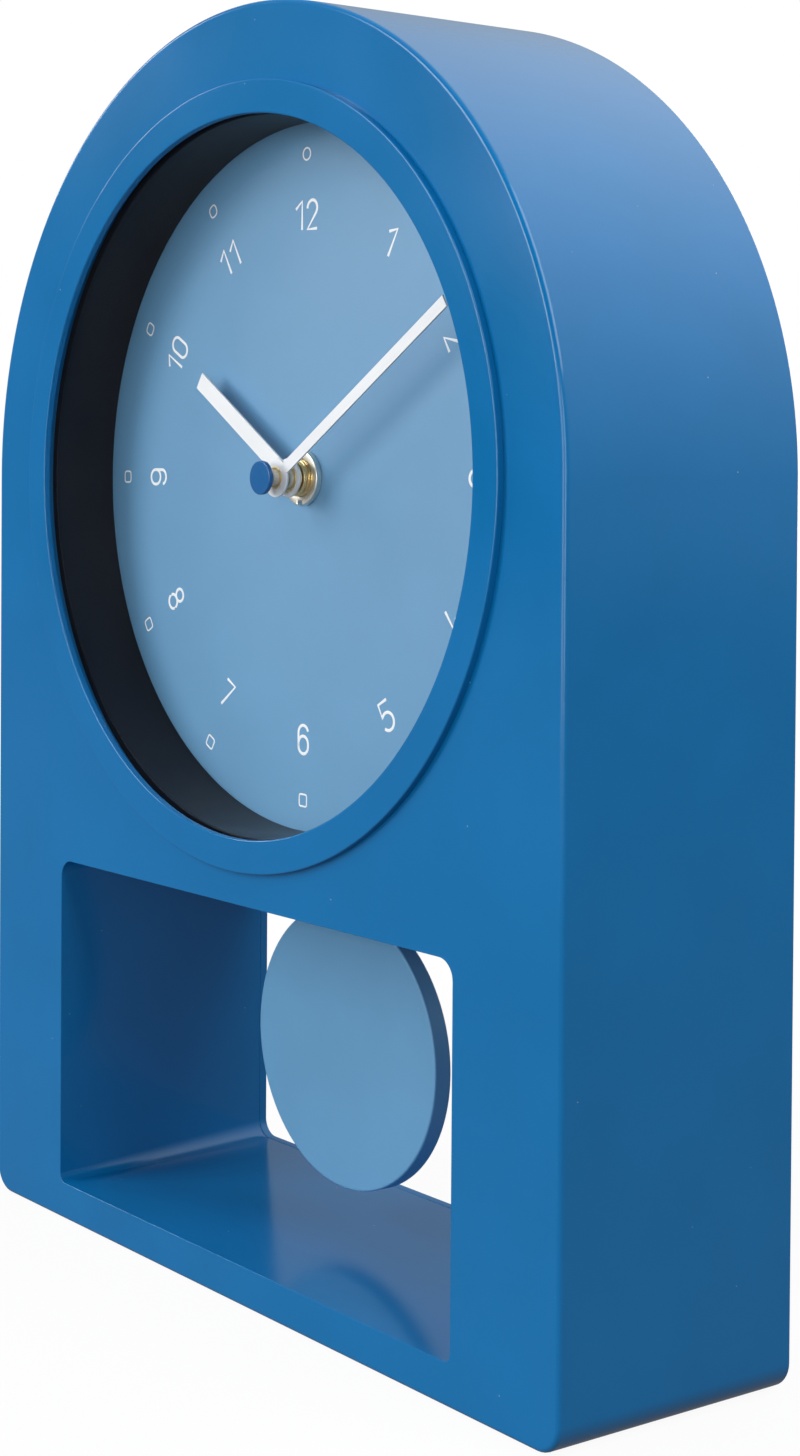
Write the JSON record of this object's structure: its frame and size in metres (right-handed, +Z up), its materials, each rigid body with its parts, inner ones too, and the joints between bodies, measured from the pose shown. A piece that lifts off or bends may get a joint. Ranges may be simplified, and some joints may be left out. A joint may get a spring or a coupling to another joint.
{
  "type": "desk pendulum clock",
  "caption": "Arched desk clock with a deep round dial, flat bar hands and a disc pendulum swinging in an open rectangular window.",
  "frame": {"origin": "middle of the footprint, on the surface that the clock stands on", "axes": "+Z up, front faces -Y, +X to the viewer's right"},
  "size_m": [0.2, 0.062, 0.276],
  "materials": {
    "case_blue": "satin blue moulded case",
    "cover_blue": "satin blue moulded back",
    "lens_clear": "clear flat lens",
    "spacer_dark": "semi-gloss dark navy",
    "dial_blue": "matt blue-grey print",
    "hand_white": "matt white paint",
    "cap_blue": "glossy blue",
    "bob_blue": "satin blue-grey",
    "brass": "bright brass",
    "nickel": "nickel plated",
    "steel": "plain steel",
    "movement_black": "matt black moulding",
    "gear_white": "natural white moulding",
    "battery_wrap": "plain dark wrapper",
    "copper_wire": "enamelled copper winding",
    "board_green": "circuit board",
    "rubber": "black rubber"
  },
  "bodies": {
    "case": {"case_shell": "case_blue", "bezel_ring": "case_blue", "lens": "lens_clear", "spacer_ring": "spacer_dark", "dial": "dial_blue", "dial_screws": "steel", "back_cover": "cover_blue", "cover_screws": "steel", "threaded_bush": "brass", "fixing_nut": "nickel", "rubber_washer": "rubber", "movement_housing": "movement_black", "movement_cover": "movement_black", "train_plate": "movement_black", "battery": "battery_wrap", "battery_contact_plus": "steel", "battery_contact_minus": "steel", "stator": "steel", "motor_coil": "copper_wire", "circuit_board": "board_green", "pendulum_coil": "copper_wire", "pivot_pin": "steel"},
    "minute_works": {"minute_arbor": "gear_white", "minute_hand": "hand_white", "minute_hand_collet": "brass"},
    "hour_works": {"hour_wheel": "gear_white", "hour_hand": "hand_white", "hour_hand_collet": "brass"},
    "setting_works": {"minute_wheel": "gear_white", "setting_knob": "movement_black"},
    "seconds_works": {"seconds_wheel": "gear_white", "seconds_cap": "cap_blue"},
    "third_works": {"third_wheel": "gear_white"},
    "centre_works": {"centre_wheel": "gear_white"},
    "intermediate_works": {"intermediate_wheel": "gear_white"},
    "rotor_works": {"rotor": "gear_white"},
    "pendulum": {"pendulum_arm": "gear_white", "pendulum_magnet": "steel", "hanger_pin": "steel", "pendulum_rod": "steel", "pendulum_bob": "bob_blue"}
  },
  "joints": [
    {"name": "minute_hand_turn", "type": "hinge", "parent": "case", "child": "minute_works", "pos_m": [0, 0, 0.176], "axis": [0, 1, 0], "continuous": true},
    {"name": "hour_hand_turn", "type": "hinge", "parent": "case", "child": "hour_works", "pos_m": [0, 0, 0.176], "axis": [0, 1, 0], "continuous": true},
    {"name": "setting_knob_turn", "type": "hinge", "parent": "case", "child": "setting_works", "pos_m": [0.01128, 0, 0.1801], "axis": [0, 1, 0], "continuous": true},
    {"name": "seconds_turn", "type": "hinge", "parent": "case", "child": "seconds_works", "pos_m": [0, 0, 0.176], "axis": [0, 1, 0], "continuous": true},
    {"name": "third_wheel_turn", "type": "hinge", "parent": "case", "child": "third_works", "pos_m": [-0.009, 0, 0.176], "axis": [0, 1, 0], "continuous": true},
    {"name": "centre_wheel_turn", "type": "hinge", "parent": "case", "child": "centre_works", "pos_m": [0, 0, 0.176], "axis": [0, 1, 0], "continuous": true},
    {"name": "intermediate_wheel_turn", "type": "hinge", "parent": "case", "child": "intermediate_works", "pos_m": [-0.00156, 0, 0.18486], "axis": [0, 1, 0], "continuous": true},
    {"name": "rotor_turn", "type": "hinge", "parent": "case", "child": "rotor_works", "pos_m": [-0.00914, 0, 0.18924], "axis": [0, 1, 0], "continuous": true},
    {"name": "pendulum_swing", "type": "hinge", "parent": "case", "child": "pendulum", "pos_m": [0, 0, 0.14], "axis": [0, 1, 0], "range_deg": [-10, 10]}
  ],
  "couplings": [
    {"joint": "hour_hand_turn", "follows": "minute_hand_turn", "ratio": 0.083333},
    {"joint": "setting_knob_turn", "follows": "minute_hand_turn", "ratio": -0.33333},
    {"joint": "third_wheel_turn", "follows": "seconds_turn", "ratio": -0.13333},
    {"joint": "centre_wheel_turn", "follows": "seconds_turn", "ratio": 0.016667},
    {"joint": "intermediate_wheel_turn", "follows": "seconds_turn", "ratio": -5},
    {"joint": "rotor_turn", "follows": "seconds_turn", "ratio": 30}
  ]
}
